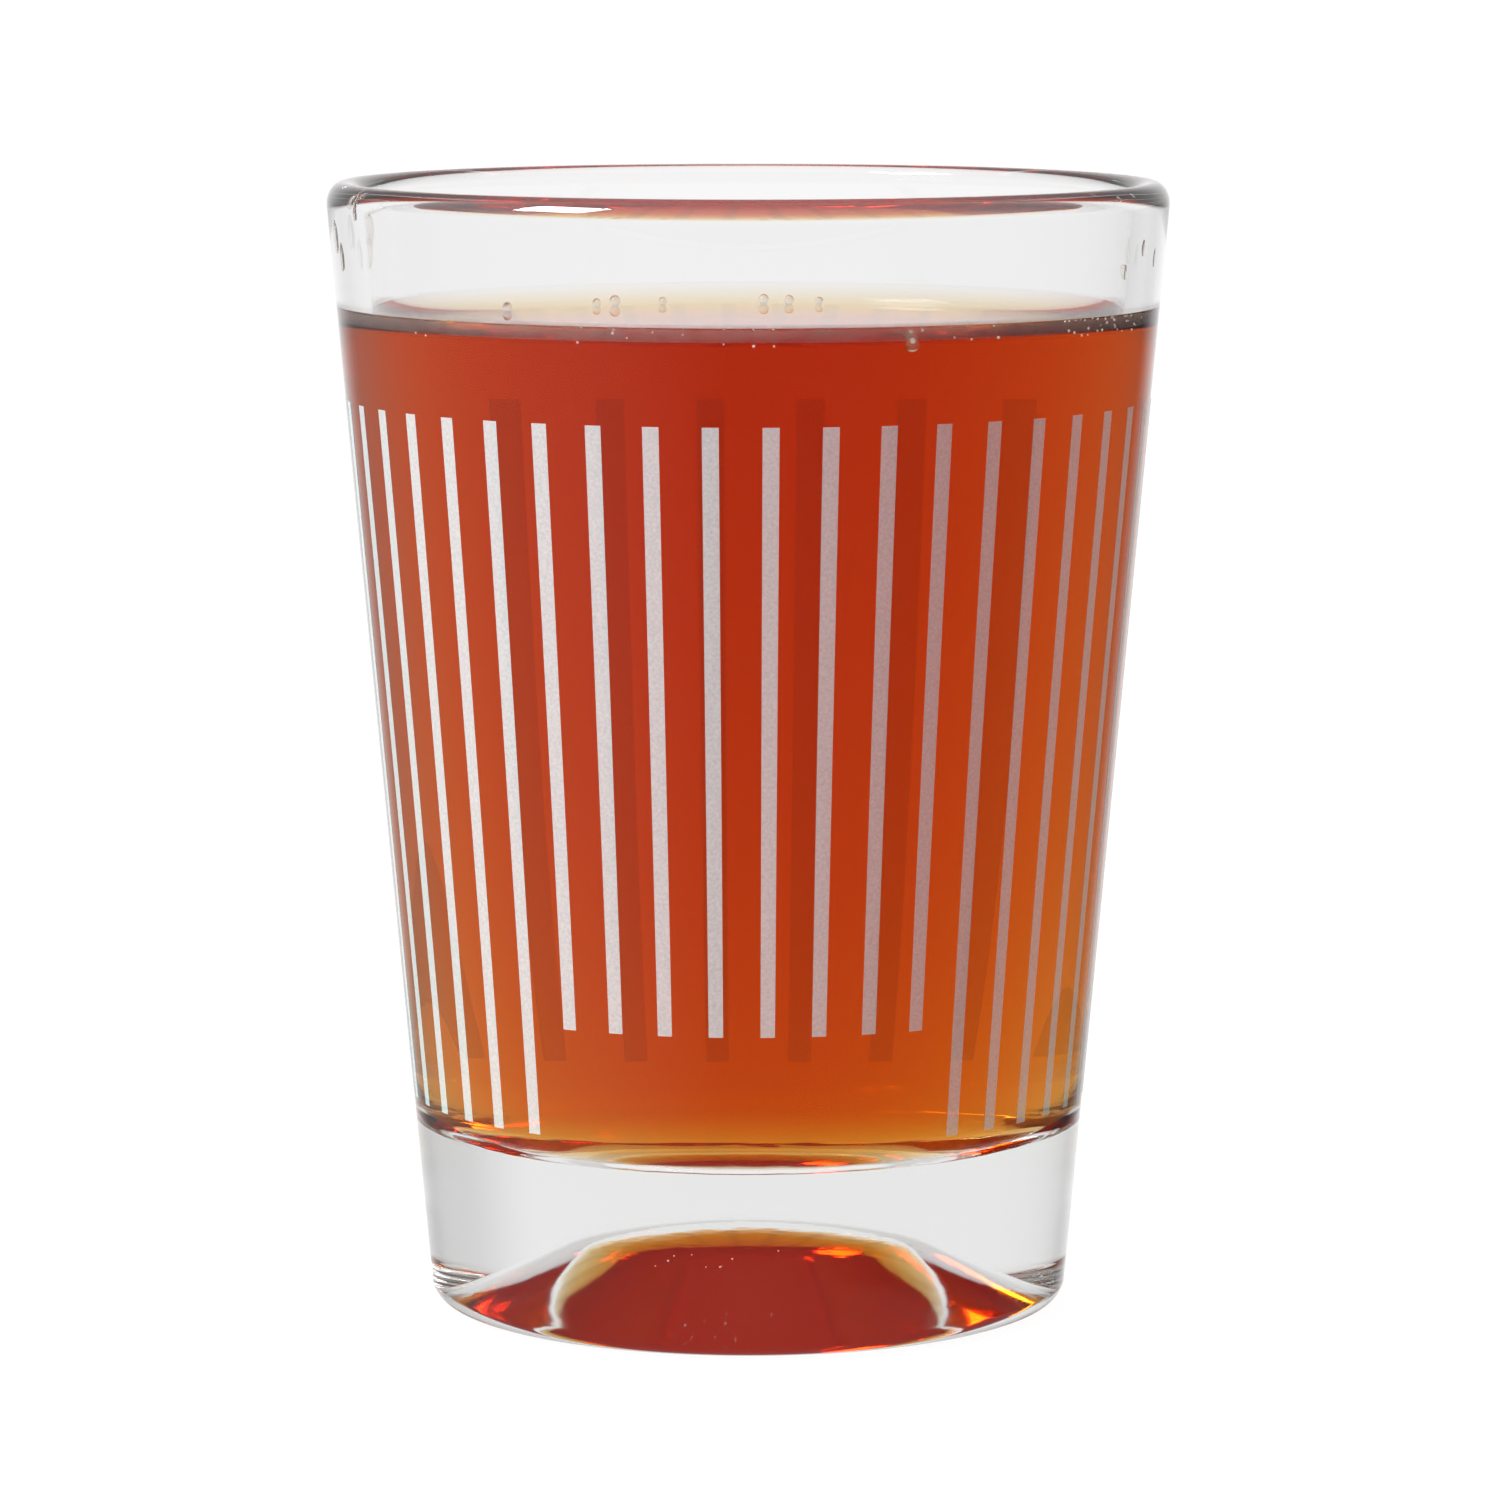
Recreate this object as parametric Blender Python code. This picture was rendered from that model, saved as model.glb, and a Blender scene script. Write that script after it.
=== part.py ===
"""A straight-sided tea glass with a heavy base and printed stripes, filled with tea.

Metres, +Z up. The glass stands on z = 0 with its axis on Z. The bare field below the
short stripes faces -Y.
"""

from math import asin, atan2, cos, hypot, pi, radians, sin, tan

import bmesh
import bpy

# The glass's outside
GLASS_HEIGHT = 0.0820
RIM_RADIUS = 0.0305
FOOT_RADIUS = 0.0232
HEEL_ROUNDING = 0.0016

# Its wall, which thickens towards the base, and how far down its lip is rounded
WALL_AT_RIM = 0.0024
LIP_OUTSIDE = 0.0016
LIP_INSIDE = 0.0008
WALL_AT_FLOOR = 0.0060
WALL_POWER = 4
FLOOR_HEIGHT = 0.0128
FLOOR_ROUNDING = 0.0030

# The hollow under the base: a shallow crown, a rounder shoulder and a straight flank
PUNT_RADIUS = 0.0153
PUNT_SLOPE = radians(41.3)
PUNT_CROWN_RADIUS = 0.0200
PUNT_CROWN_REACH = 0.0070
PUNT_SHOULDER_RADIUS = 0.0075
PUNT_EDGE_ROUNDING = 0.0006

# The printed stripes, and the field below the short ones that stays bare
STRIPE_COUNT = 44
STRIPE_SHARE = 0.28
STRIPE_RELIEF = 0.0001
STRIPE_TOP = 0.0664
LONG_STRIPE_FOOT = 0.0155
SHORT_STRIPE_FOOT = 0.0234
SHORT_STRIPES_EACH_SIDE = 4
FIELD_TURN = radians(-1.0)

# The tea
TEA_LEVEL = 0.0718
MENISCUS_RISE = 0.0014
MENISCUS_WIDTH = 0.0045
MENISCUS_POWER = 3
FITTING_GAP = 0.0003

# How finely the round shapes are cut
GAP_FACES = 2
TEA_SEGMENTS = 64
ROUNDING_STEPS = 4
FLOOR_STEPS = 5
WALL_STEPS = 6
RIM_STEPS = 8
CROWN_STEPS = 4
SHOULDER_STEPS = 3

WALL_SLOPE = (RIM_RADIUS - FOOT_RADIUS) / GLASS_HEIGHT
STRIPE_PITCH = 2 * pi / STRIPE_COUNT


def outer_radius(height):
    """The outside of the conical wall at a height."""
    return FOOT_RADIUS + WALL_SLOPE * height


def inner_radius(height):
    """The inside of the wall, which thickens faster and faster towards the floor."""
    share = (GLASS_HEIGHT - height) / (GLASS_HEIGHT - FLOOR_HEIGHT)
    return outer_radius(height) - WALL_AT_RIM - (WALL_AT_FLOOR - WALL_AT_RIM) * share ** WALL_POWER


def arc(centre, radius, start, end, steps):
    """Points on a circle in the profile's plane, both ends included; angles in radians."""
    points = []
    for step in range(steps + 1):
        angle = start + (end - start) * step / steps
        points.append((centre[0] + radius * cos(angle), centre[1] + radius * sin(angle)))
    return points


def punt_profile():
    """The hollow under the base, from the axis out to the ring that the glass stands on."""
    crown_angle = asin(PUNT_CROWN_REACH / PUNT_CROWN_RADIUS)
    shoulder_reach = PUNT_CROWN_REACH + PUNT_SHOULDER_RADIUS * (sin(PUNT_SLOPE) - sin(crown_angle))
    shoulder_height = (PUNT_RADIUS - shoulder_reach) * tan(PUNT_SLOPE)
    crown_height = shoulder_height + PUNT_SHOULDER_RADIUS * (cos(crown_angle) - cos(PUNT_SLOPE))
    crown_centre = (0.0, crown_height - PUNT_CROWN_RADIUS * cos(crown_angle))
    shoulder_centre = (
        shoulder_reach - PUNT_SHOULDER_RADIUS * sin(PUNT_SLOPE),
        shoulder_height - PUNT_SHOULDER_RADIUS * cos(PUNT_SLOPE),
    )
    edge_centre = (PUNT_RADIUS + PUNT_EDGE_ROUNDING * tan(PUNT_SLOPE / 2), PUNT_EDGE_ROUNDING)
    crown_end = pi / 2 - crown_angle
    flank = pi / 2 - PUNT_SLOPE
    crown = arc(crown_centre, PUNT_CROWN_RADIUS, pi / 2, crown_end, CROWN_STEPS)
    shoulder = arc(shoulder_centre, PUNT_SHOULDER_RADIUS, crown_end, flank, SHOULDER_STEPS)
    edge = arc(edge_centre, PUNT_EDGE_ROUNDING, pi + flank, 3 * pi / 2, ROUNDING_STEPS)
    return crown + shoulder[1:] + edge


def heel_profile():
    """The rounded edge between the standing ring and the wall."""
    lean = atan2(WALL_SLOPE, 1.0)
    centre_radius = outer_radius(HEEL_ROUNDING) - HEEL_ROUNDING * hypot(1.0, WALL_SLOPE)
    return arc((centre_radius, HEEL_ROUNDING), HEEL_ROUNDING, -pi / 2, -lean, ROUNDING_STEPS)


def rim_profile():
    """The lip, rounder outside than inside, from the outside over the top to the inside."""
    lean = atan2(WALL_SLOPE, 1.0)
    half = WALL_AT_RIM / 2
    points = []
    for step in range(RIM_STEPS + 1):
        angle = pi * step / RIM_STEPS - lean
        drop = LIP_OUTSIDE if angle < pi / 2 else LIP_INSIDE
        points.append((RIM_RADIUS - half + half * cos(angle), GLASS_HEIGHT - drop * (1 - sin(angle))))
    return points


def inner_wall(top, bottom, gap=0.0):
    """Points down the inside of the wall from one height to short of another, ever closer."""
    points = []
    for step in range(WALL_STEPS):
        share = step / WALL_STEPS
        height = top + (bottom - top) * share * (2 - share)
        points.append((inner_radius(height) - gap, height))
    return points


def floor_profile(gap=0.0):
    """The rounding between the inner wall and the floor, and the floor's centre."""
    foot = FLOOR_HEIGHT + FLOOR_ROUNDING / 2
    lean = atan2(inner_radius(foot + FLOOR_ROUNDING) - inner_radius(foot), FLOOR_ROUNDING)
    height = FLOOR_HEIGHT + FLOOR_ROUNDING
    touch = height - FLOOR_ROUNDING * sin(lean)
    centre = (inner_radius(touch) - FLOOR_ROUNDING * cos(lean), height)
    points = arc(centre, FLOOR_ROUNDING - gap, -lean, -pi / 2, FLOOR_STEPS)
    return points + [(0.0, FLOOR_HEIGHT + gap)]


def glass_outline():
    """The glass's closed outline from the axis under the base to the axis on the floor."""
    heights = (LONG_STRIPE_FOOT, SHORT_STRIPE_FOOT, STRIPE_TOP)
    wall = [(outer_radius(height), height) for height in heights]
    rim = rim_profile()
    inside = floor_profile()
    inner = inner_wall(rim[-1][1], inside[0][1])
    return punt_profile() + heel_profile() + wall + rim + inner[1:] + inside


def tea_outline():
    """The tea's outline, from the axis on its surface, up its meniscus and down to the axis."""
    contact = TEA_LEVEL + MENISCUS_RISE
    edge = inner_radius(contact) - FITTING_GAP
    points = [(0.0, TEA_LEVEL)]
    for step in range(ROUNDING_STEPS + 2):
        share = step / (ROUNDING_STEPS + 1)
        radius = edge - MENISCUS_WIDTH * (1 - share)
        points.append((radius, TEA_LEVEL + MENISCUS_RISE * share ** MENISCUS_POWER))
    inside = floor_profile(FITTING_GAP)
    return points + inner_wall(contact, inside[0][1], FITTING_GAP)[1:] + inside


def stripe_angle(index):
    """The angle of a stripe's middle about Z; stripes 0 and -1 stand beside the field's middle."""
    return FIELD_TURN - pi / 2 + (index + 0.5) * STRIPE_PITCH


def glass_angles():
    """Angles of the glass's facets: each stripe is one facet, and each gap a few."""
    half = STRIPE_PITCH * STRIPE_SHARE / 2
    angles = []
    for index in range(STRIPE_COUNT):
        start = stripe_angle(index) + half
        gap = STRIPE_PITCH * (1 - STRIPE_SHARE)
        angles.append(stripe_angle(index) - half)
        angles.extend(start + gap * step / GAP_FACES for step in range(GAP_FACES))
    return angles


def tea_angles():
    return [2 * pi * step / TEA_SEGMENTS for step in range(TEA_SEGMENTS)]


def turn(bm, outline, angles):
    """Turn an outline, whose two ends lie on the axis, through the given angles.

    Returns the rows of faces, one row for each stretch of the outline.
    """
    first = bm.verts.new((0.0, 0.0, outline[0][1]))
    last = bm.verts.new((0.0, 0.0, outline[-1][1]))
    rings = []
    for radius, height in outline[1:-1]:
        rings.append([bm.verts.new((radius * cos(a), radius * sin(a), height)) for a in angles])
    rows = []
    count = len(angles)
    for lower, upper in zip(rings, rings[1:]):
        row = []
        for step in range(count):
            after = (step + 1) % count
            row.append(bm.faces.new((lower[step], lower[after], upper[after], upper[step])))
        rows.append(row)
    for pole, ring in ((first, rings[0]), (last, rings[-1])):
        for step in range(count):
            bm.faces.new((pole, ring[step], ring[(step + 1) % count]))
    bmesh.ops.recalc_face_normals(bm, faces=bm.faces)
    return rows


def is_short(index):
    """Whether a stripe stops above the bare field."""
    from_field = min(index, STRIPE_COUNT - 1 - index)
    return from_field < SHORT_STRIPES_EACH_SIDE


def raise_stripe(bm, faces):
    """Lift a stripe's faces off the wall by the thickness of the print."""
    lifted = bmesh.ops.extrude_face_region(bm, geom=faces)["geom"]
    for item in lifted:
        if isinstance(item, bmesh.types.BMVert):
            radius = hypot(item.co.x, item.co.y)
            item.co.x *= 1 + STRIPE_RELIEF / radius
            item.co.y *= 1 + STRIPE_RELIEF / radius
        elif isinstance(item, bmesh.types.BMFace):
            item.material_index = 1
    bmesh.ops.delete(bm, geom=faces, context="FACES")


def add_stripes(bm, rows, outline):
    """Raise every stripe on the wall, the short ones from above the bare field."""
    heights = [point[1] for point in outline[1:-1]]
    long_row = rows[heights.index(LONG_STRIPE_FOOT)]
    short_row = rows[heights.index(SHORT_STRIPE_FOOT)]
    for index in range(STRIPE_COUNT):
        column = index * (1 + GAP_FACES)
        faces = [short_row[column]]
        if not is_short(index):
            faces.append(long_row[column])
        raise_stripe(bm, faces)


def material(name, colour, roughness, metallic=0.0, transmission=0.0, ior=1.45):
    """A plain Principled material."""
    made = bpy.data.materials.new(name)
    made.use_nodes = True
    shader = made.node_tree.nodes["Principled BSDF"]
    shader.inputs["Base Color"].default_value = (*colour, 1.0)
    shader.inputs["Roughness"].default_value = roughness
    shader.inputs["Metallic"].default_value = metallic
    shader.inputs["Transmission Weight"].default_value = transmission
    shader.inputs["IOR"].default_value = ior
    made.diffuse_color = (*colour, 1.0)
    return made


def clear_glass():
    return material("clear_glass", (0.95, 0.96, 0.96), 0.02, transmission=1.0, ior=1.5)


def silver_print():
    return material("silver_print", (0.74, 0.72, 0.71), 0.42, metallic=0.7)


def black_tea():
    return material("black_tea", (0.62, 0.10, 0.01), 0.02, transmission=0.8, ior=1.33)


def add_object(name, bm, materials):
    """Turn a bmesh into a smooth-shaded object with its materials."""
    mesh = bpy.data.meshes.new(name)
    bm.to_mesh(mesh)
    bm.free()
    for each in materials:
        mesh.materials.append(each)
    mesh.shade_smooth()
    mesh.set_sharp_from_angle(angle=radians(35))
    made = bpy.data.objects.new(name, mesh)
    bpy.context.scene.collection.objects.link(made)
    return made


def add_glass():
    """The glass, one solid with its print as low relief."""
    bm = bmesh.new()
    outline = glass_outline()
    rows = turn(bm, outline, glass_angles())
    add_stripes(bm, rows, outline)
    return add_object("glass", bm, [clear_glass(), silver_print()])


def add_tea():
    """The tea up to its level, just clear of the glass."""
    bm = bmesh.new()
    turn(bm, tea_outline(), tea_angles())
    return add_object("tea", bm, [black_tea()])


def main():
    for old in list(bpy.data.objects):
        bpy.data.objects.remove(old, do_unlink=True)
    add_glass()
    add_tea()


main()
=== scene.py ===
"""The looks of the tea glass: clear glass, printed stripes, tea, bubbles and drips."""

import random
from math import asin, atan2, cos, hypot, pi, radians, sin, tan

import bmesh
import bpy
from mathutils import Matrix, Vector, noise


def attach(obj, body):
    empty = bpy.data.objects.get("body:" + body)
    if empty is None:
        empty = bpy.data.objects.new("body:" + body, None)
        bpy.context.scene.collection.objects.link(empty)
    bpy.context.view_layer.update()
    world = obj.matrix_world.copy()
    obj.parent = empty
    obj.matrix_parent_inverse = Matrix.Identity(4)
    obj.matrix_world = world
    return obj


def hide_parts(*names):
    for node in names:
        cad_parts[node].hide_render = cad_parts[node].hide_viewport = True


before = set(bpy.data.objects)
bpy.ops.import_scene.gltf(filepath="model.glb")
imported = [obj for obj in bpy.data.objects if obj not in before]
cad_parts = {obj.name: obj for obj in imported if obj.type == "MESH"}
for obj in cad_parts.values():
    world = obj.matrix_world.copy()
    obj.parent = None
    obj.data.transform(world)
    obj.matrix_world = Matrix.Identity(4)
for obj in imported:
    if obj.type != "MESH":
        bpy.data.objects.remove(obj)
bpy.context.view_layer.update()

# The glass's profile, in metres, the same as the CAD solid's
GLASS_HEIGHT = 0.0820
RIM_RADIUS = 0.0305
FOOT_RADIUS = 0.0232
HEEL_ROUNDING = 0.0016
WALL_AT_RIM = 0.0024
LIP_OUTSIDE = 0.0016
LIP_INSIDE = 0.0008
WALL_AT_FLOOR = 0.0060
WALL_POWER = 4
FLOOR_HEIGHT = 0.0128
FLOOR_ROUNDING = 0.0030
PUNT_RADIUS = 0.0153
PUNT_SLOPE = radians(41.3)
PUNT_CROWN_RADIUS = 0.0200
PUNT_CROWN_REACH = 0.0070
PUNT_SHOULDER_RADIUS = 0.0075
PUNT_EDGE_ROUNDING = 0.0006
WALL_SLOPE = (RIM_RADIUS - FOOT_RADIUS) / GLASS_HEIGHT

# The print
STRIPE_COUNT = 44
STRIPE_PITCH = 2 * pi / STRIPE_COUNT
STRIPE_SHARE = 0.28
STRIPE_TOP = 0.0664
LONG_STRIPE_FOOT = 0.0155
SHORT_STRIPE_FOOT = 0.0234
SHORT_STRIPES_EACH_SIDE = 4
FIELD_TURN = radians(-1.0)
PRINT_THICKNESS = 0.00003
PRINT_SINK = 0.000002

# The tea, which reaches a little into the glass so that no gap shows
TEA_LEVEL = 0.0718
MENISCUS_RISE = 0.0014
MENISCUS_WIDTH = 0.0045
MENISCUS_POWER = 3.0
TEA_TOP = TEA_LEVEL + MENISCUS_RISE
TEA_REACH = 0.0001
WET_EDGE = 0.00004
WET_LINE = TEA_LEVEL + MENISCUS_RISE * (1 - TEA_REACH / MENISCUS_WIDTH) ** MENISCUS_POWER

# The film on the wall at the tea's edge: partly a film that the tea leaves, partly painted light, a
# pale veil over the tea's raised edge
FILM_FOOT = TEA_LEVEL + 0.0004
FILM_FADE = 0.0003
FILM_HALF_TURN = radians(100)
FILM_END_FADE = 0.0046
FILM_DEPTH = 0.00002

# The unevenness of the pressed glass
FLOOR_UNEVENNESS = 0.00003
FLOOR_UNEVEN_SIZE = 0.0016
PUNT_RIPPLE = 0.000009
PUNT_RIPPLE_SIZE = 0.0008
PUNT_RIPPLE_CROWDING = 3.0

# Bubbles at the tea's edge, with turns in degrees from the front, positive to the right
RANDOM_SEED = 7
EDGE_BUBBLES = 34
EDGE_TURNS = (-75, 80)
EDGE_CLUSTER_TURN = 62
EDGE_CLUSTER_SPREAD = 9
EDGE_RISES = (0.1, 0.8)
EDGE_SIZES = (0.00005, 0.00012)

# Floating bubbles: those at the back, in degrees from it, and a big one near the front
BACK_BUBBLES = (-54, -31, -27, -17, 3, 8, 14)
BACK_SIZES = (0.0003, 0.0005)
BACK_RISE = 0.9
BIG_BUBBLE_TURN = 24.5
BIG_BUBBLE_HEIGHT = TEA_LEVEL + 0.0001
BIG_BUBBLE_SIZE = 0.00048
# The glint is a white ball on the big bubble: a painted highlight
GLINT_TURN = BIG_BUBBLE_TURN - 0.4
GLINT_RISE = 0.6
GLINT_DEPTH = 0.0004
GLINT_SIZE = 0.00022

# Each drip's turn from the front, height, size and stretch
DRIPS = (
    (-81, 0.0784, 0.00055, 2.2),
    (-78, 0.0770, 0.00040, 2.6),
    (-70, 0.0801, 0.00026, 1.6),
    (72, 0.0778, 0.00020, 3.0),
    (66, 0.0762, 0.00016, 3.5),
    (78, 0.0770, 0.00018, 4.0),
)

# The seeds in the base's glass
SEED_COUNT = 9
SEED_SIDES = (-0.0060, 0.0020)
SEED_DISTANCES = (0.0125, 0.0145)
SEED_HEIGHTS = (0.0056, 0.0070)
SEED_SIZES = (0.00003, 0.00008)

# How finely the shapes are cut
SEGMENTS = 352
ROUNDING_STEPS = 16
RIM_STEPS = 28
PUNT_STEPS = 36
WALL_STEPS = 20
STRIPE_COLUMNS = 3
STRIPE_ROWS = 12
BALL_STEPS = 24
SMALL_BALL = 0.0002
SHARP_ANGLE = radians(35)

# Glass and tea. Where they touch, the tea's face alone bends light, by the ratio of the two.
GLASS_IOR = 1.5
TEA_IOR = 1.333
WET_GLASS_IOR = 1.0
WET_TEA_IOR = TEA_IOR / GLASS_IOR
WHITE = (1.0, 1.0, 1.0, 1.0)
GLASS_COLOUR = (0.96, 0.96, 0.96, 1.0)
GLASS_PASSES = (0.2, 0.25, 0.2, 1.0)
GLASS_DENSITY = 4.0
PUNT_ROUGHNESS = 0.08
PUNT_ROUGH_REACH = 1.1 * PUNT_RADIUS
TEA_PASSES = (0.954, 0.763, 0.3, 1.0)
TEA_DENSITY = 300.0

# Ink and film, whose cover is 1 where nothing shows through
INK_DARK = (0.50, 0.74, 0.77, 1.0)
INK_BRIGHT = (0.78, 1.0, 1.0, 1.0)
# The ink's inner face gets a dark colour that the ink does not have: painted shade, darkening the
# stripes seen from inside through the tea
INK_INSIDE_PAINTED_SHADE = (0.12, 0.10, 0.09, 1.0)
INK_COVER = 0.45
INK_COVER_INSIDE = 0.17
INK_ROUGHNESS = 0.55
INK_GRAIN = 4500.0
INK_GRAIN_RANGE = (0.2, 0.8)
# The film's pinkish colour is partly painted light: a pale veil over the tea's raised edge
FILM_AND_VEIL_COLOUR = (0.50, 0.36, 0.34, 1.0)
FILM_COVERS = (0.12, 0.42)
FILM_ROUGHNESS = 0.5
FILM_GRAIN = 700.0
FILM_GRAIN_DETAIL = 3.0
FILM_GRAIN_RANGE = (0.3, 0.7)
FILM_PATCH_COVERS = (0.6, 1.0)

# Froth, the white ball of a painted highlight, and drops
FROTH_AND_GLINT_DARK = (0.86, 0.72, 0.66, 1.0)
FROTH_AND_GLINT_BRIGHT = (1.0, 0.98, 0.96, 1.0)
FROTH_GRAIN = 6000.0
FROTH_ROUGHNESS = 0.15
DROP_DARK = (0.85, 0.78, 0.72, 1.0)
DROP_BRIGHT = (0.98, 0.96, 0.93, 1.0)
DROP_GRAIN = 1500.0
DROP_ROUGHNESS = 0.02
DROP_CLEARNESS = 0.9

# The floor
FLOOR_HALF_SIZE = 20.0
FLOOR_DROP = 0.0002
FLOOR_COLOUR = (0.06, 0.06, 0.06, 1.0)
FLOOR_GLOW = 0.96

# The studio's brightness, where white is 1
HIGH_FRONT = 0.6
HIGH_BEHIND = 1.02
OVERHEAD = 1.3
LOW_BEHIND = 1.0
LOW_LEFT = 0.38
LOW_RIGHT = 0.09
LOW_NEAR = 0.36
BACK_LEFT = 1.0
BACK_RIGHT = 0.78
CEILING = 0.8

# The key light
KEY_TURN = radians(60)
KEY_ELEVATION = radians(42)
KEY_DISTANCE = 1.2
KEY_SIZE = 0.4
KEY_POWER = 28.0

# The camera, as fitted to the photograph, in metres, degrees and millimetres of lens
CAMERA_DISTANCE = 0.4919
CAMERA_HEIGHT = 0.10383
CAMERA_OFFSET = 0.00013
CAMERA_TILT = 7.347
CAMERA_LENS = 162.6
CAMERA_SENSOR = 36.0
CAMERA_NEAREST = 0.01

# How often light may bounce
ALL_BOUNCES = 48
CLEAR_BOUNCES = 32


def outer_radius(height):
    return FOOT_RADIUS + WALL_SLOPE * height


def inner_radius(height):
    """The inside of the wall, which thickens faster and faster towards the floor."""
    share = (GLASS_HEIGHT - height) / (GLASS_HEIGHT - FLOOR_HEIGHT)
    return outer_radius(height) - WALL_AT_RIM - (WALL_AT_FLOOR - WALL_AT_RIM) * share ** WALL_POWER


def arc(centre, radius, start, end, steps):
    points = []
    for step in range(steps + 1):
        angle = start + (end - start) * step / steps
        points.append((centre[0] + radius * cos(angle), centre[1] + radius * sin(angle)))
    return points


def line(start, end, steps):
    """Points between two profile points, without the ends."""
    shares = [step / steps for step in range(1, steps)]
    return [(start[0] + (end[0] - start[0]) * s, start[1] + (end[1] - start[1]) * s) for s in shares]


def inner_wall(top, bottom, reach=0.0):
    """Points down the inside of the wall between two heights, without the lower end."""
    heights = [top + (bottom - top) * step / WALL_STEPS for step in range(WALL_STEPS)]
    return [(inner_radius(height) + reach, height) for height in heights]


def punt_profile():
    """The hollow under the base: a shallow crown, a rounder shoulder and a straight flank."""
    cut = PUNT_EDGE_ROUNDING * tan(PUNT_SLOPE / 2)
    crown_angle = asin(PUNT_CROWN_REACH / PUNT_CROWN_RADIUS)
    shoulder_reach = PUNT_CROWN_REACH + PUNT_SHOULDER_RADIUS * (sin(PUNT_SLOPE) - sin(crown_angle))
    shoulder_height = (PUNT_RADIUS - shoulder_reach) * tan(PUNT_SLOPE)
    crown_height = shoulder_height + PUNT_SHOULDER_RADIUS * (cos(crown_angle) - cos(PUNT_SLOPE))
    crown_centre = (0.0, crown_height - PUNT_CROWN_RADIUS * cos(crown_angle))
    crown = arc(crown_centre, PUNT_CROWN_RADIUS, pi / 2, pi / 2 - crown_angle, PUNT_STEPS)
    shoulder_centre = (
        shoulder_reach - PUNT_SHOULDER_RADIUS * sin(PUNT_SLOPE),
        shoulder_height - PUNT_SHOULDER_RADIUS * cos(PUNT_SLOPE),
    )
    shoulder = arc(
        shoulder_centre, PUNT_SHOULDER_RADIUS, pi / 2 - crown_angle, pi / 2 - PUNT_SLOPE, PUNT_STEPS
    )
    edge_centre = (PUNT_RADIUS + cut, PUNT_EDGE_ROUNDING)
    edge = arc(edge_centre, PUNT_EDGE_ROUNDING, 3 * pi / 2 - PUNT_SLOPE, 3 * pi / 2, ROUNDING_STEPS)
    flank = line(shoulder[-1], edge[0], WALL_STEPS)
    return crown + shoulder[1:] + flank + edge


def heel_profile():
    """The rounding from the foot's ring to the outside of the wall."""
    lean = atan2(WALL_SLOPE, 1.0)
    centre_radius = outer_radius(HEEL_ROUNDING) - HEEL_ROUNDING * hypot(1.0, WALL_SLOPE)
    return arc((centre_radius, HEEL_ROUNDING), HEEL_ROUNDING, -pi / 2, -lean, ROUNDING_STEPS)


def rim_profile():
    """The lip, rounder outside than inside, from the outside over the top to the inside."""
    lean = atan2(WALL_SLOPE, 1.0)
    half = WALL_AT_RIM / 2
    points = []
    for step in range(RIM_STEPS + 1):
        angle = pi * step / RIM_STEPS - lean
        drop = LIP_OUTSIDE if angle < pi / 2 else LIP_INSIDE
        points.append((RIM_RADIUS - half + half * cos(angle), GLASS_HEIGHT - drop * (1 - sin(angle))))
    return points


def floor_profile(reach=0.0):
    """The rounding from the inner wall to the floor, moved out into the glass by reach."""
    foot = FLOOR_HEIGHT + FLOOR_ROUNDING / 2
    lean = atan2(inner_radius(foot + FLOOR_ROUNDING) - inner_radius(foot), FLOOR_ROUNDING)
    height = FLOOR_HEIGHT + FLOOR_ROUNDING
    touch = height - FLOOR_ROUNDING * sin(lean)
    centre = (inner_radius(touch) - FLOOR_ROUNDING * cos(lean), height)
    points = arc(centre, FLOOR_ROUNDING + reach, -lean, -pi / 2, ROUNDING_STEPS)
    return points + line(points[-1], (0.0, points[-1][1]), WALL_STEPS) + [(0.0, FLOOR_HEIGHT - reach)]


def glass_outline():
    """The glass's outline in two stretches: what air touches, and what the tea wets."""
    heel = heel_profile()
    rim = rim_profile()
    inside = floor_profile()
    dry_edge = WET_LINE + WET_EDGE
    wall = line(heel[-1], rim[0], WALL_STEPS)
    dry_wall = inner_wall(rim[-1][1], dry_edge)[1:] + [(inner_radius(dry_edge), dry_edge)]
    wet_wall = inner_wall(WET_LINE, inside[0][1])
    return punt_profile() + heel + wall + rim + dry_wall, wet_wall + inside


def tea_outline():
    """The tea's outline in two stretches: its open surface, and what the glass holds."""
    edge = inner_radius(TEA_TOP) + TEA_REACH
    surface = [(0.0, TEA_LEVEL)]
    surface += line(surface[0], (edge - MENISCUS_WIDTH, TEA_LEVEL), WALL_STEPS)
    for step in range(ROUNDING_STEPS + 1):
        share = step / ROUNDING_STEPS
        radius = edge - MENISCUS_WIDTH * (1 - share)
        surface.append((radius, TEA_LEVEL + MENISCUS_RISE * share ** MENISCUS_POWER))
    inside = floor_profile(TEA_REACH)
    held = inner_wall(TEA_TOP - WET_EDGE, inside[0][1], TEA_REACH) + inside
    return surface[::-1], held[::-1]


def uneven(point):
    """A point's slight move up or down where the mould left the glass uneven."""
    x, y, z = point
    radius = hypot(x, y)
    if z > FLOOR_HEIGHT + FLOOR_ROUNDING or radius > inner_radius(FLOOR_HEIGHT) + TEA_REACH:
        return point
    if z > FLOOR_HEIGHT - 2 * TEA_REACH:
        fade = min(1.0, (FLOOR_HEIGHT + FLOOR_ROUNDING - z) / FLOOR_ROUNDING)
        spot = Vector((x, y, 0.0)) / FLOOR_UNEVEN_SIZE
        return x, y, z + fade * FLOOR_UNEVENNESS * noise.noise(spot)
    if z > PUNT_EDGE_ROUNDING and radius < PUNT_RADIUS:
        spot = Vector((radius * PUNT_RIPPLE_CROWDING, x, y)) / PUNT_RIPPLE_SIZE
        return x, y, z + PUNT_RIPPLE * noise.noise(spot)
    return point


def add_object(name, data):
    made = bpy.data.objects.new(name, data)
    bpy.context.scene.collection.objects.link(made)
    return made


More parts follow.
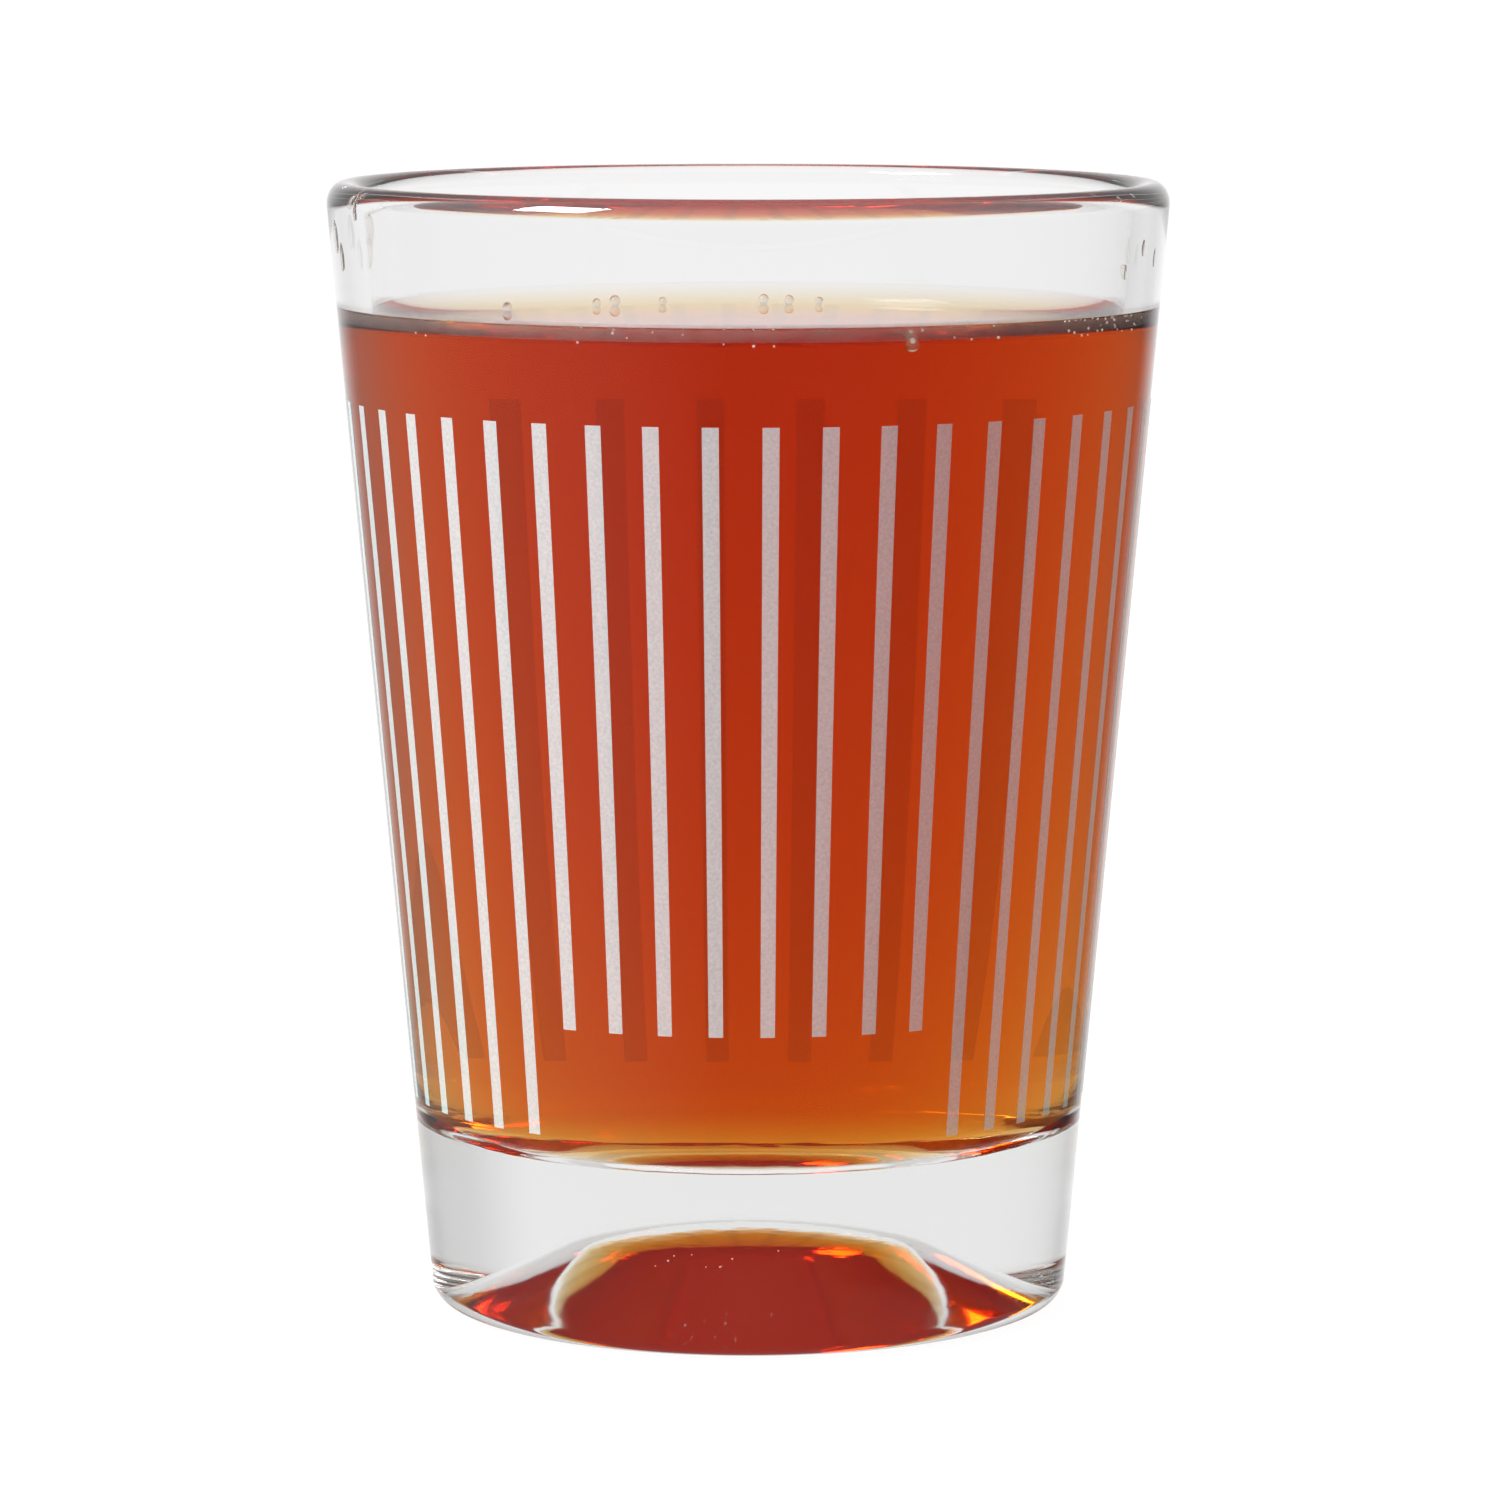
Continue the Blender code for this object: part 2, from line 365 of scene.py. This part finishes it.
def turned_faces(rings):
    """The faces between rings of points, and a fan at each end to a point on the axis."""
    faces = []
    for ring in range(rings - 1):
        low = 2 + ring * SEGMENTS
        high = low + SEGMENTS
        for step in range(SEGMENTS):
            after = (step + 1) % SEGMENTS
            faces.append((low + step, low + after, high + after, high + step))
    last = 2 + (rings - 1) * SEGMENTS
    for step in range(SEGMENTS):
        after = (step + 1) % SEGMENTS
        faces.append((0, 2 + after, 2 + step))
        faces.append((1, last + step, last + after))
    return faces


def turn(name, dry, wet):
    """A closed piece turned about Z from an outline whose two ends lie on the axis.

    The outline's two stretches join in either order, and the wet one is marked.
    """
    stretches = [(wet, 1.0), (dry, 0.0)] if wet[0][0] == 0.0 else [(dry, 0.0), (wet, 1.0)]
    outline = [point for stretch, _ in stretches for point in stretch]
    wetness = [mark for stretch, mark in stretches for _ in stretch]
    marks = [wetness[0], wetness[-1]]
    for mark in wetness[1:-1]:
        marks.extend([mark] * SEGMENTS)
    angles = [2 * pi * step / SEGMENTS for step in range(SEGMENTS)]
    points = [(0.0, 0.0, outline[0][1]), (0.0, 0.0, outline[-1][1])]
    for radius, height in outline[1:-1]:
        points.extend((radius * cos(a), radius * sin(a), height) for a in angles)
    mesh = bpy.data.meshes.new(name)
    mesh.from_pydata([uneven(point) for point in points], [], turned_faces(len(outline) - 2))
    mesh.attributes.new("wet", "FLOAT", "POINT").data.foreach_set("value", marks)
    mesh.shade_smooth()
    mesh.set_sharp_from_angle(angle=SHARP_ANGLE)
    return add_object(name, mesh)


def stripe_angle(index):
    return FIELD_TURN - pi / 2 + (index + 0.5) * STRIPE_PITCH


def is_short(index):
    return min(index, STRIPE_COUNT - 1 - index) < SHORT_STRIPES_EACH_SIDE


def wall_radius(height):
    """The outside of the wall between its heel and its lip."""
    low, high = heel_profile()[-1], rim_profile()[0]
    return low[0] + (high[0] - low[0]) * (height - low[1]) / (high[1] - low[1])


def strip_layer(index, offset):
    """One layer of a stripe's points, offset from the wall, row after row."""
    foot = SHORT_STRIPE_FOOT if is_short(index) else LONG_STRIPE_FOOT
    half = STRIPE_PITCH * STRIPE_SHARE / 2
    points = []
    for row in range(STRIPE_ROWS + 1):
        height = foot + (STRIPE_TOP - foot) * row / STRIPE_ROWS
        radius = wall_radius(height) + offset
        for column in range(STRIPE_COLUMNS + 1):
            angle = stripe_angle(index) + half * (2 * column / STRIPE_COLUMNS - 1)
            points.append((radius * cos(angle), radius * sin(angle), height))
    return points


def strip_faces(start):
    """The faces of a strip whose points begin at start, the inner layer before the outer."""
    wide = STRIPE_COLUMNS + 1
    layer = (STRIPE_ROWS + 1) * wide
    faces = []
    for row in range(STRIPE_ROWS):
        for column in range(STRIPE_COLUMNS):
            a = start + row * wide + column
            b = a + layer
            faces.append((a, a + wide, a + wide + 1, a + 1))
            faces.append((b, b + 1, b + wide + 1, b + wide))
    edge = [row * wide for row in range(STRIPE_ROWS + 1)]
    edge += [STRIPE_ROWS * wide + column for column in range(1, wide)]
    edge += [row * wide + wide - 1 for row in range(STRIPE_ROWS - 1, -1, -1)]
    edge += range(wide - 2, 0, -1)
    for here, there in zip(edge, edge[1:] + edge[:1]):
        a, b = start + here, start + there
        faces.append((a, a + layer, b + layer, b))
    return faces


def add_stripes():
    """All the printed stripes, as thin strips on the outside of the wall."""
    points = []
    marks = []
    faces = []
    for index in range(STRIPE_COUNT):
        faces += strip_faces(len(points))
        for offset, inside in ((-PRINT_SINK, 1.0), (PRINT_THICKNESS, 0.0)):
            layer = strip_layer(index, offset)
            points += layer
            marks += [inside] * len(layer)
    mesh = bpy.data.meshes.new("print_stripes")
    mesh.from_pydata(points, [], faces)
    mesh.attributes.new("inside", "FLOAT", "POINT").data.foreach_set("value", marks)
    return add_object("print_stripes", mesh)


def add_film():
    """A faint film on the front wall, from just above the tea's level to just above its edge, partly
    painted light: a pale veil over the tea's raised edge.
    """
    low, high = FILM_FOOT, TEA_TOP + FILM_FADE
    points = []
    for step in range(SEGMENTS + 1):
        angle = FILM_HALF_TURN * (2 * step / SEGMENTS - 1)
        for height, depth in ((low, 1), (high, 1), (high, 2), (low, 2)):
            radius = inner_radius(height) - depth * FILM_DEPTH
            points.append((radius * sin(angle), -radius * cos(angle), height))
    faces = [(3, 2, 1, 0), tuple(4 * SEGMENTS + corner for corner in range(4))]
    for step in range(SEGMENTS):
        here, there = 4 * step, 4 * step + 4
        for side in range(4):
            after = (side + 1) % 4
            faces.append((here + side, here + after, there + after, there + side))
    mesh = bpy.data.meshes.new("tea_film_and_light_veil")
    mesh.from_pydata(points, [], faces)
    return add_object("tea_film_and_light_veil", mesh)


def add_ball(bm, centre, size, stretch=1.0):
    """A small round body, taller than wide by its stretch."""
    steps = BALL_STEPS // 2 if size < SMALL_BALL else BALL_STEPS
    ball = bmesh.ops.create_uvsphere(bm, u_segments=steps, v_segments=steps // 2, radius=size)
    for vert in ball["verts"]:
        vert.co.z *= stretch
        vert.co += Vector(centre)


def add_balls(name, balls):
    """One piece made of several small round bodies."""
    bm = bmesh.new()
    for ball in balls:
        add_ball(bm, *ball)
    mesh = bpy.data.meshes.new(name)
    bm.to_mesh(mesh)
    bm.free()
    mesh.shade_smooth()
    return add_object(name, mesh)


def on_circle(radius, degrees, height):
    """A point at an angle from the glass's front, positive to the right."""
    angle = radians(degrees)
    return radius * sin(angle), -radius * cos(angle), height


def edge_bubbles_and_glint():
    """Tiny bubbles in the tea's raised edge, half of them gathered at the right, and a glint: a white
    ball that paints the big bubble's highlight.
    """
    draw = random.Random(RANDOM_SEED)
    balls = []
    for index in range(EDGE_BUBBLES):
        if index % 2:
            degrees = draw.gauss(EDGE_CLUSTER_TURN, EDGE_CLUSTER_SPREAD)
        else:
            degrees = draw.uniform(*EDGE_TURNS)
        height = TEA_LEVEL + draw.uniform(*EDGE_RISES) * MENISCUS_RISE
        size = draw.uniform(*EDGE_SIZES)
        balls.append((on_circle(inner_radius(height) - size, degrees, height), size))
    # A white ball as the big bubble's painted highlight
    glint = BIG_BUBBLE_HEIGHT + GLINT_RISE * BIG_BUBBLE_SIZE
    balls.append((on_circle(inner_radius(glint) - GLINT_DEPTH, GLINT_TURN, glint), GLINT_SIZE))
    return balls


def floating_bubbles():
    """Bigger bubbles afloat near the wall at the back, and one near the front."""
    draw = random.Random(RANDOM_SEED)
    balls = []
    for degrees in BACK_BUBBLES:
        size = draw.uniform(*BACK_SIZES)
        height = TEA_LEVEL + BACK_RISE * size
        balls.append((on_circle(inner_radius(height) - MENISCUS_WIDTH, 180 - degrees, height), size))
    reach = inner_radius(TEA_LEVEL) - 2 * BIG_BUBBLE_SIZE
    balls.append((on_circle(reach, BIG_BUBBLE_TURN, BIG_BUBBLE_HEIGHT), BIG_BUBBLE_SIZE))
    return balls


def drips():
    """Drips on the inner wall above the tea, the bigger ones on the left."""
    balls = []
    for degrees, height, size, stretch in DRIPS:
        balls.append((on_circle(inner_radius(height), degrees, height), size, stretch))
    return balls


def seeds():
    """Tiny bubbles that the base's glass holds in front of its hollow."""
    draw = random.Random(RANDOM_SEED)
    balls = []
    for _ in range(SEED_COUNT):
        side = draw.uniform(*SEED_SIDES)
        distance = draw.uniform(*SEED_DISTANCES)
        height = draw.uniform(*SEED_HEIGHTS)
        balls.append(((side, -distance, height), draw.uniform(*SEED_SIZES)))
    return balls


def object_place(tree):
    return tree.nodes.new("ShaderNodeTexCoord").outputs["Object"]


def mark(tree, name):
    """A mark that the mesh's points carry."""
    node = tree.nodes.new("ShaderNodeAttribute")
    node.attribute_name = name
    return node.outputs["Fac"]


def grain(tree, scale, detail=2.0):
    """Noise over the piece, with so many cells to the metre."""
    node = tree.nodes.new("ShaderNodeTexNoise")
    node.inputs["Scale"].default_value = scale
    node.inputs["Detail"].default_value = detail
    tree.links.new(object_place(tree), node.inputs["Vector"])
    return node.outputs["Fac"]


def ramp(tree, value, source, target=(0.0, 1.0), curve="LINEAR"):
    """A value carried over from one range to another, and held at its ends."""
    node = tree.nodes.new("ShaderNodeMapRange")
    node.interpolation_type = curve
    for name, end in zip(("From Min", "From Max", "To Min", "To Max"), source + target):
        node.inputs[name].default_value = end
    tree.links.new(value, node.inputs["Value"])
    return node.outputs["Result"]


def blend(tree, factor, first, second, kind="FLOAT"):
    """A blend of two numbers or colours, each a constant or another node's output."""
    node = tree.nodes.new("ShaderNodeMix")
    node.data_type = kind
    tree.links.new(factor, node.inputs["Factor"])
    for socket, value in ((node.inputs["A"], first), (node.inputs["B"], second)):
        if isinstance(value, bpy.types.NodeSocket):
            tree.links.new(value, socket)
        else:
            socket.default_value = value
    return node.outputs["Result"]


def product(tree, first, second):
    node = tree.nodes.new("ShaderNodeMath")
    node.operation = "MULTIPLY"
    tree.links.new(first, node.inputs[0])
    tree.links.new(second, node.inputs[1])
    return node.outputs["Value"]


def new_material(name, settings):
    """A material with its shader set, its node tree, and its shader's inputs."""
    made = bpy.data.materials.new(name)
    made.use_nodes = True
    inputs = made.node_tree.nodes["Principled BSDF"].inputs
    for setting, value in settings.items():
        inputs[setting].default_value = value
    return made, made.node_tree, inputs


def clear_material(name, colour, ior, wet_ior, passes, density):
    """A clear body that absorbs light and bends it less where glass and tea touch."""
    settings = {"Base Color": colour, "Roughness": 0.0, "Transmission Weight": 1.0, "IOR": ior}
    made, tree, inputs = new_material(name, settings)
    tree.links.new(ramp(tree, mark(tree, "wet"), (0.0, 1.0), (ior, wet_ior)), inputs["IOR"])
    absorption = tree.nodes.new("ShaderNodeVolumeAbsorption")
    absorption.inputs["Color"].default_value = passes
    absorption.inputs["Density"].default_value = density
    tree.links.new(absorption.outputs["Volume"], tree.nodes["Material Output"].inputs["Volume"])
    return made, tree, inputs


def glass_material():
    """Polished clear glass, a little matt in the hollow and the middle of the floor above it."""
    made, tree, inputs = clear_material(
        "clear_glass", GLASS_COLOUR, GLASS_IOR, WET_GLASS_IOR, GLASS_PASSES, GLASS_DENSITY
    )
    reach = tree.nodes.new("ShaderNodeVectorMath")
    reach.operation = "LENGTH"
    tree.links.new(object_place(tree), reach.inputs[0])
    fade = (PUNT_RADIUS, PUNT_ROUGH_REACH)
    matt = ramp(tree, reach.outputs["Value"], fade, (PUNT_ROUGHNESS, 0.0))
    tree.links.new(matt, inputs["Roughness"])
    return made


def tea_material():
    made, _, _ = clear_material("black_tea", WHITE, TEA_IOR, WET_TEA_IOR, TEA_PASSES, TEA_DENSITY)
    return made


def print_material():
    """Thin silver ink: half see-through, a little cool, with a fine grain, and painted shade on its
    inner face, which is darker than the ink.
    """
    made, tree, inputs = new_material("silver_print", {"Roughness": INK_ROUGHNESS})
    inside = mark(tree, "inside")
    sharper = ramp(tree, grain(tree, INK_GRAIN), INK_GRAIN_RANGE)
    shade = blend(tree, sharper, INK_DARK, INK_BRIGHT, "RGBA")
    # Painted shade: the inner face takes the dark colour instead of the ink's
    tree.links.new(blend(tree, inside, shade, INK_INSIDE_PAINTED_SHADE, "RGBA"), inputs["Base Color"])
    cover = ramp(tree, inside, (0.0, 1.0), (INK_COVER, INK_COVER_INSIDE))
    facing = tree.nodes.new("ShaderNodeNewGeometry")
    tree.links.new(blend(tree, facing.outputs["Backfacing"], cover, 0.0), inputs["Alpha"])
    return made


def film_material():
    """A thin pinkish film, patchy and half see-through, faded above and towards its two ends; partly
    painted light, a pale veil over the tea's raised edge.
    """
    settings = {"Base Color": FILM_AND_VEIL_COLOUR, "Roughness": FILM_ROUGHNESS}
    made, tree, inputs = new_material("tea_film_and_light_veil", settings)
    place = tree.nodes.new("ShaderNodeSeparateXYZ")
    tree.links.new(object_place(tree), place.inputs[0])
    height, depth = place.outputs["Z"], place.outputs["Y"]
    patches = grain(tree, FILM_GRAIN, FILM_GRAIN_DETAIL)
    cover = ramp(tree, height, (FILM_FOOT, TEA_TOP), FILM_COVERS)
    for share in (
        ramp(tree, height, (TEA_TOP, TEA_TOP + FILM_FADE), (1.0, 0.0)),
        ramp(tree, depth, (-FILM_END_FADE, FILM_END_FADE), (1.0, 0.0)),
        ramp(tree, patches, FILM_GRAIN_RANGE, FILM_PATCH_COVERS),
    ):
        cover = product(tree, cover, share)
    tree.links.new(cover, inputs["Alpha"])
    return made


def speckled_material(name, scale, first, second, settings):
    """A look whose colour varies finely between two shades."""
    made, tree, inputs = new_material(name, settings)
    tree.links.new(blend(tree, grain(tree, scale), first, second, "RGBA"), inputs["Base Color"])
    return made


def froth_and_glint_material():
    """White specks of air, and the white of the painted highlight on the big bubble."""
    settings = {"Roughness": FROTH_ROUGHNESS}
    return speckled_material("froth_and_glint", FROTH_GRAIN, FROTH_AND_GLINT_DARK, FROTH_AND_GLINT_BRIGHT, settings)


def drop_material():
    """Clear drops, a little brown from the tea."""
    settings = {"Roughness": DROP_ROUGHNESS, "Transmission Weight": DROP_CLEARNESS, "IOR": TEA_IOR}
    return speckled_material("clear_drops", DROP_GRAIN, DROP_DARK, DROP_BRIGHT, settings)


def floor_material():
    settings = {
        "Base Color": FLOOR_COLOUR,
        "Roughness": 1.0,
        "Specular IOR Level": 0.0,
        "Emission Color": WHITE,
        "Emission Strength": FLOOR_GLOW,
    }
    made, _, _ = new_material("pale_floor", settings)
    return made


def add_floor():
    """A pale floor that shows beside the glass, but not in its reflections or through it."""
    half = FLOOR_HALF_SIZE
    corners = [(-half, -half, 0), (half, -half, 0), (half, half, 0), (-half, half, 0)]
    mesh = bpy.data.meshes.new("floor")
    mesh.from_pydata(corners, [], [(0, 1, 2, 3)])
    made = add_object("floor", mesh)
    made.location.z = -FLOOR_DROP
    made.data.materials.append(floor_material())
    made.visible_glossy = False
    made.visible_diffuse = False
    made.visible_transmission = False


def add_world():
    """A pale studio: bright above and behind, dark below in front, less so right at the foot."""
    world = bpy.data.worlds.new("studio")
    bpy.context.scene.world = world
    world.use_nodes = True
    tree = world.node_tree
    background = tree.nodes["Background"].inputs
    background["Color"].default_value = WHITE
    split = tree.nodes.new("ShaderNodeSeparateXYZ")
    tree.links.new(tree.nodes.new("ShaderNodeTexCoord").outputs["Generated"], split.inputs[0])
    x, y, z = (split.outputs[axis] for axis in "XYZ")

    def smooth(value, low, high):
        return ramp(tree, value, (low, high), curve="SMOOTHSTEP")

    left = smooth(x, 0.0, -0.8)
    right = smooth(x, 0.45, 0.75)
    behind = smooth(y, 0.8, 1.0)
    near = smooth(z, -0.35, -0.38)
    above = smooth(z, -0.02, 0.05)
    raised = smooth(z, 0.2, 0.45)
    overhead = smooth(z, 0.5, 0.8)
    sides = blend(tree, near, blend(tree, left, LOW_RIGHT, LOW_LEFT), LOW_NEAR)
    low = blend(tree, behind, sides, LOW_BEHIND)
    high = blend(tree, overhead, blend(tree, behind, HIGH_FRONT, HIGH_BEHIND), OVERHEAD)
    mirrored = blend(tree, above, low, high)
    refracted = blend(tree, raised, blend(tree, right, BACK_LEFT, BACK_RIGHT), CEILING)
    path = tree.nodes.new("ShaderNodeLightPath")
    strength = blend(tree, path.outputs["Is Transmission Ray"], mirrored, refracted)
    tree.links.new(strength, background["Strength"])


def add_key_light():
    """A soft light high up on the left, in front of the glass."""
    data = bpy.data.lights.new("key", "AREA")
    data.size = KEY_SIZE
    data.energy = KEY_POWER
    made = add_object("key", data)
    level = KEY_DISTANCE * cos(KEY_ELEVATION)
    spot = Vector((-level * sin(KEY_TURN), -level * cos(KEY_TURN), KEY_DISTANCE * sin(KEY_ELEVATION)))
    made.location = spot
    made.rotation_euler = (-spot).to_track_quat("-Z", "Y").to_euler()


def add_camera():
    data = bpy.data.cameras.new("camera")
    data.lens = CAMERA_LENS
    data.sensor_width = CAMERA_SENSOR
    data.clip_start = CAMERA_NEAREST
    made = add_object("camera", data)
    made.location = (CAMERA_OFFSET, -CAMERA_DISTANCE, CAMERA_HEIGHT)
    made.rotation_euler = (radians(90 - CAMERA_TILT), 0.0, 0.0)
    bpy.context.scene.camera = made


glass = turn("glass_body", *glass_outline())
glass.data.materials.append(glass_material())
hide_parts("glass")
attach(glass, "root")

tea = turn("tea_body", *tea_outline())
tea.data.materials.append(tea_material())
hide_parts("tea")
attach(tea, "root")

stripes = add_stripes()
stripes.data.materials.append(print_material())
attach(stripes, "root")

film = add_film()
film.data.materials.append(film_material())
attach(film, "root")

froth_and_glint = froth_and_glint_material()
drops = drop_material()
for name, balls, look in (
    ("edge_bubbles_and_glint", edge_bubbles_and_glint(), froth_and_glint),
    ("floating_bubbles", floating_bubbles(), drops),
    ("wall_drips", drips(), drops),
    ("glass_seeds", seeds(), froth_and_glint),
):
    piece = add_balls(name, balls)
    piece.data.materials.append(look)
    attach(piece, "root")

add_floor()
add_world()
add_key_light()
add_camera()
scene = bpy.context.scene
scene.view_settings.view_transform = "Standard"
scene.cycles.max_bounces = ALL_BOUNCES
scene.cycles.transmission_bounces = CLEAR_BOUNCES
scene.cycles.glossy_bounces = CLEAR_BOUNCES
